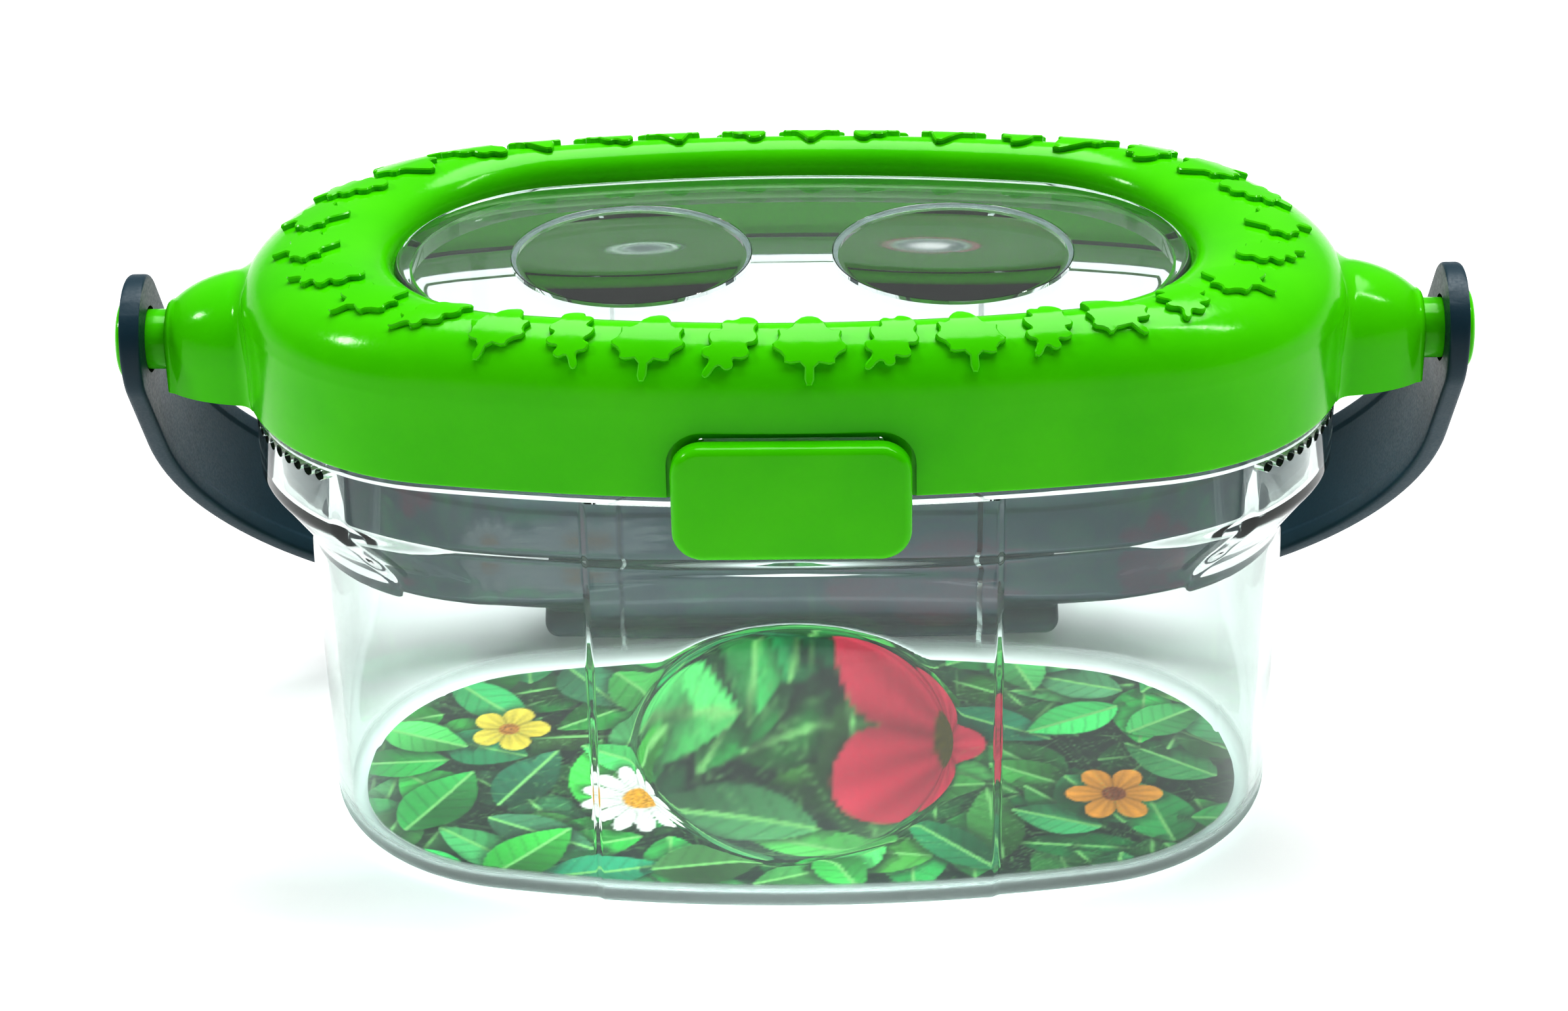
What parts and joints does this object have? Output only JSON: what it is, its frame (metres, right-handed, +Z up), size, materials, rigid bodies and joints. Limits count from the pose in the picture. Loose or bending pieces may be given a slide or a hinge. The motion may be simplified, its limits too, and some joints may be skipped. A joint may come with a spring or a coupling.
{
  "type": "bug catcher jar",
  "caption": "Clear oval tub with a vented flared shoulder, a front magnifier dome, a green snap lid with lens window, a front clip and a swinging bail handle.",
  "frame": {"origin": "middle of the tub's flat underside, on the surface that it stands on", "axes": "+Z up, +X along the long side and the handle's pivot line, -Y towards the clip and the front magnifier"},
  "size_m": [0.1968, 0.1057, 0.0944],
  "materials": {
    "clear_plastic": "clear polished moulding",
    "lens_plastic": "clear polished lens",
    "green_plastic": "glossy bright green moulding",
    "black_plastic": "satin black moulding",
    "printed_card": null
  },
  "bodies": {
    "jar": {"jar_body": "clear_plastic", "base_card": "printed_card"},
    "lid": {"lid_frame": "green_plastic", "lid_window": "clear_plastic", "left_lens": "lens_plastic", "right_lens": "lens_plastic"},
    "latch": {"front_latch": "green_plastic"},
    "bail": {"handle": "black_plastic"}
  },
  "joints": [
    {"name": "lid_lift", "type": "slide", "parent": "jar", "child": "lid", "axis": [0, 0, 1], "range_m": [0, 0.06]},
    {"name": "latch_hinge", "type": "hinge", "parent": "lid", "child": "latch", "pos_m": [0, -0.038, 0.0775], "axis": [-1, 0, 0], "range_deg": [0, 16]},
    {"name": "bail_swing", "type": "hinge", "parent": "lid", "child": "bail", "pos_m": [0, 0, 0.0765], "axis": [1, 0, 0], "range_deg": [0, 270]}
  ]
}
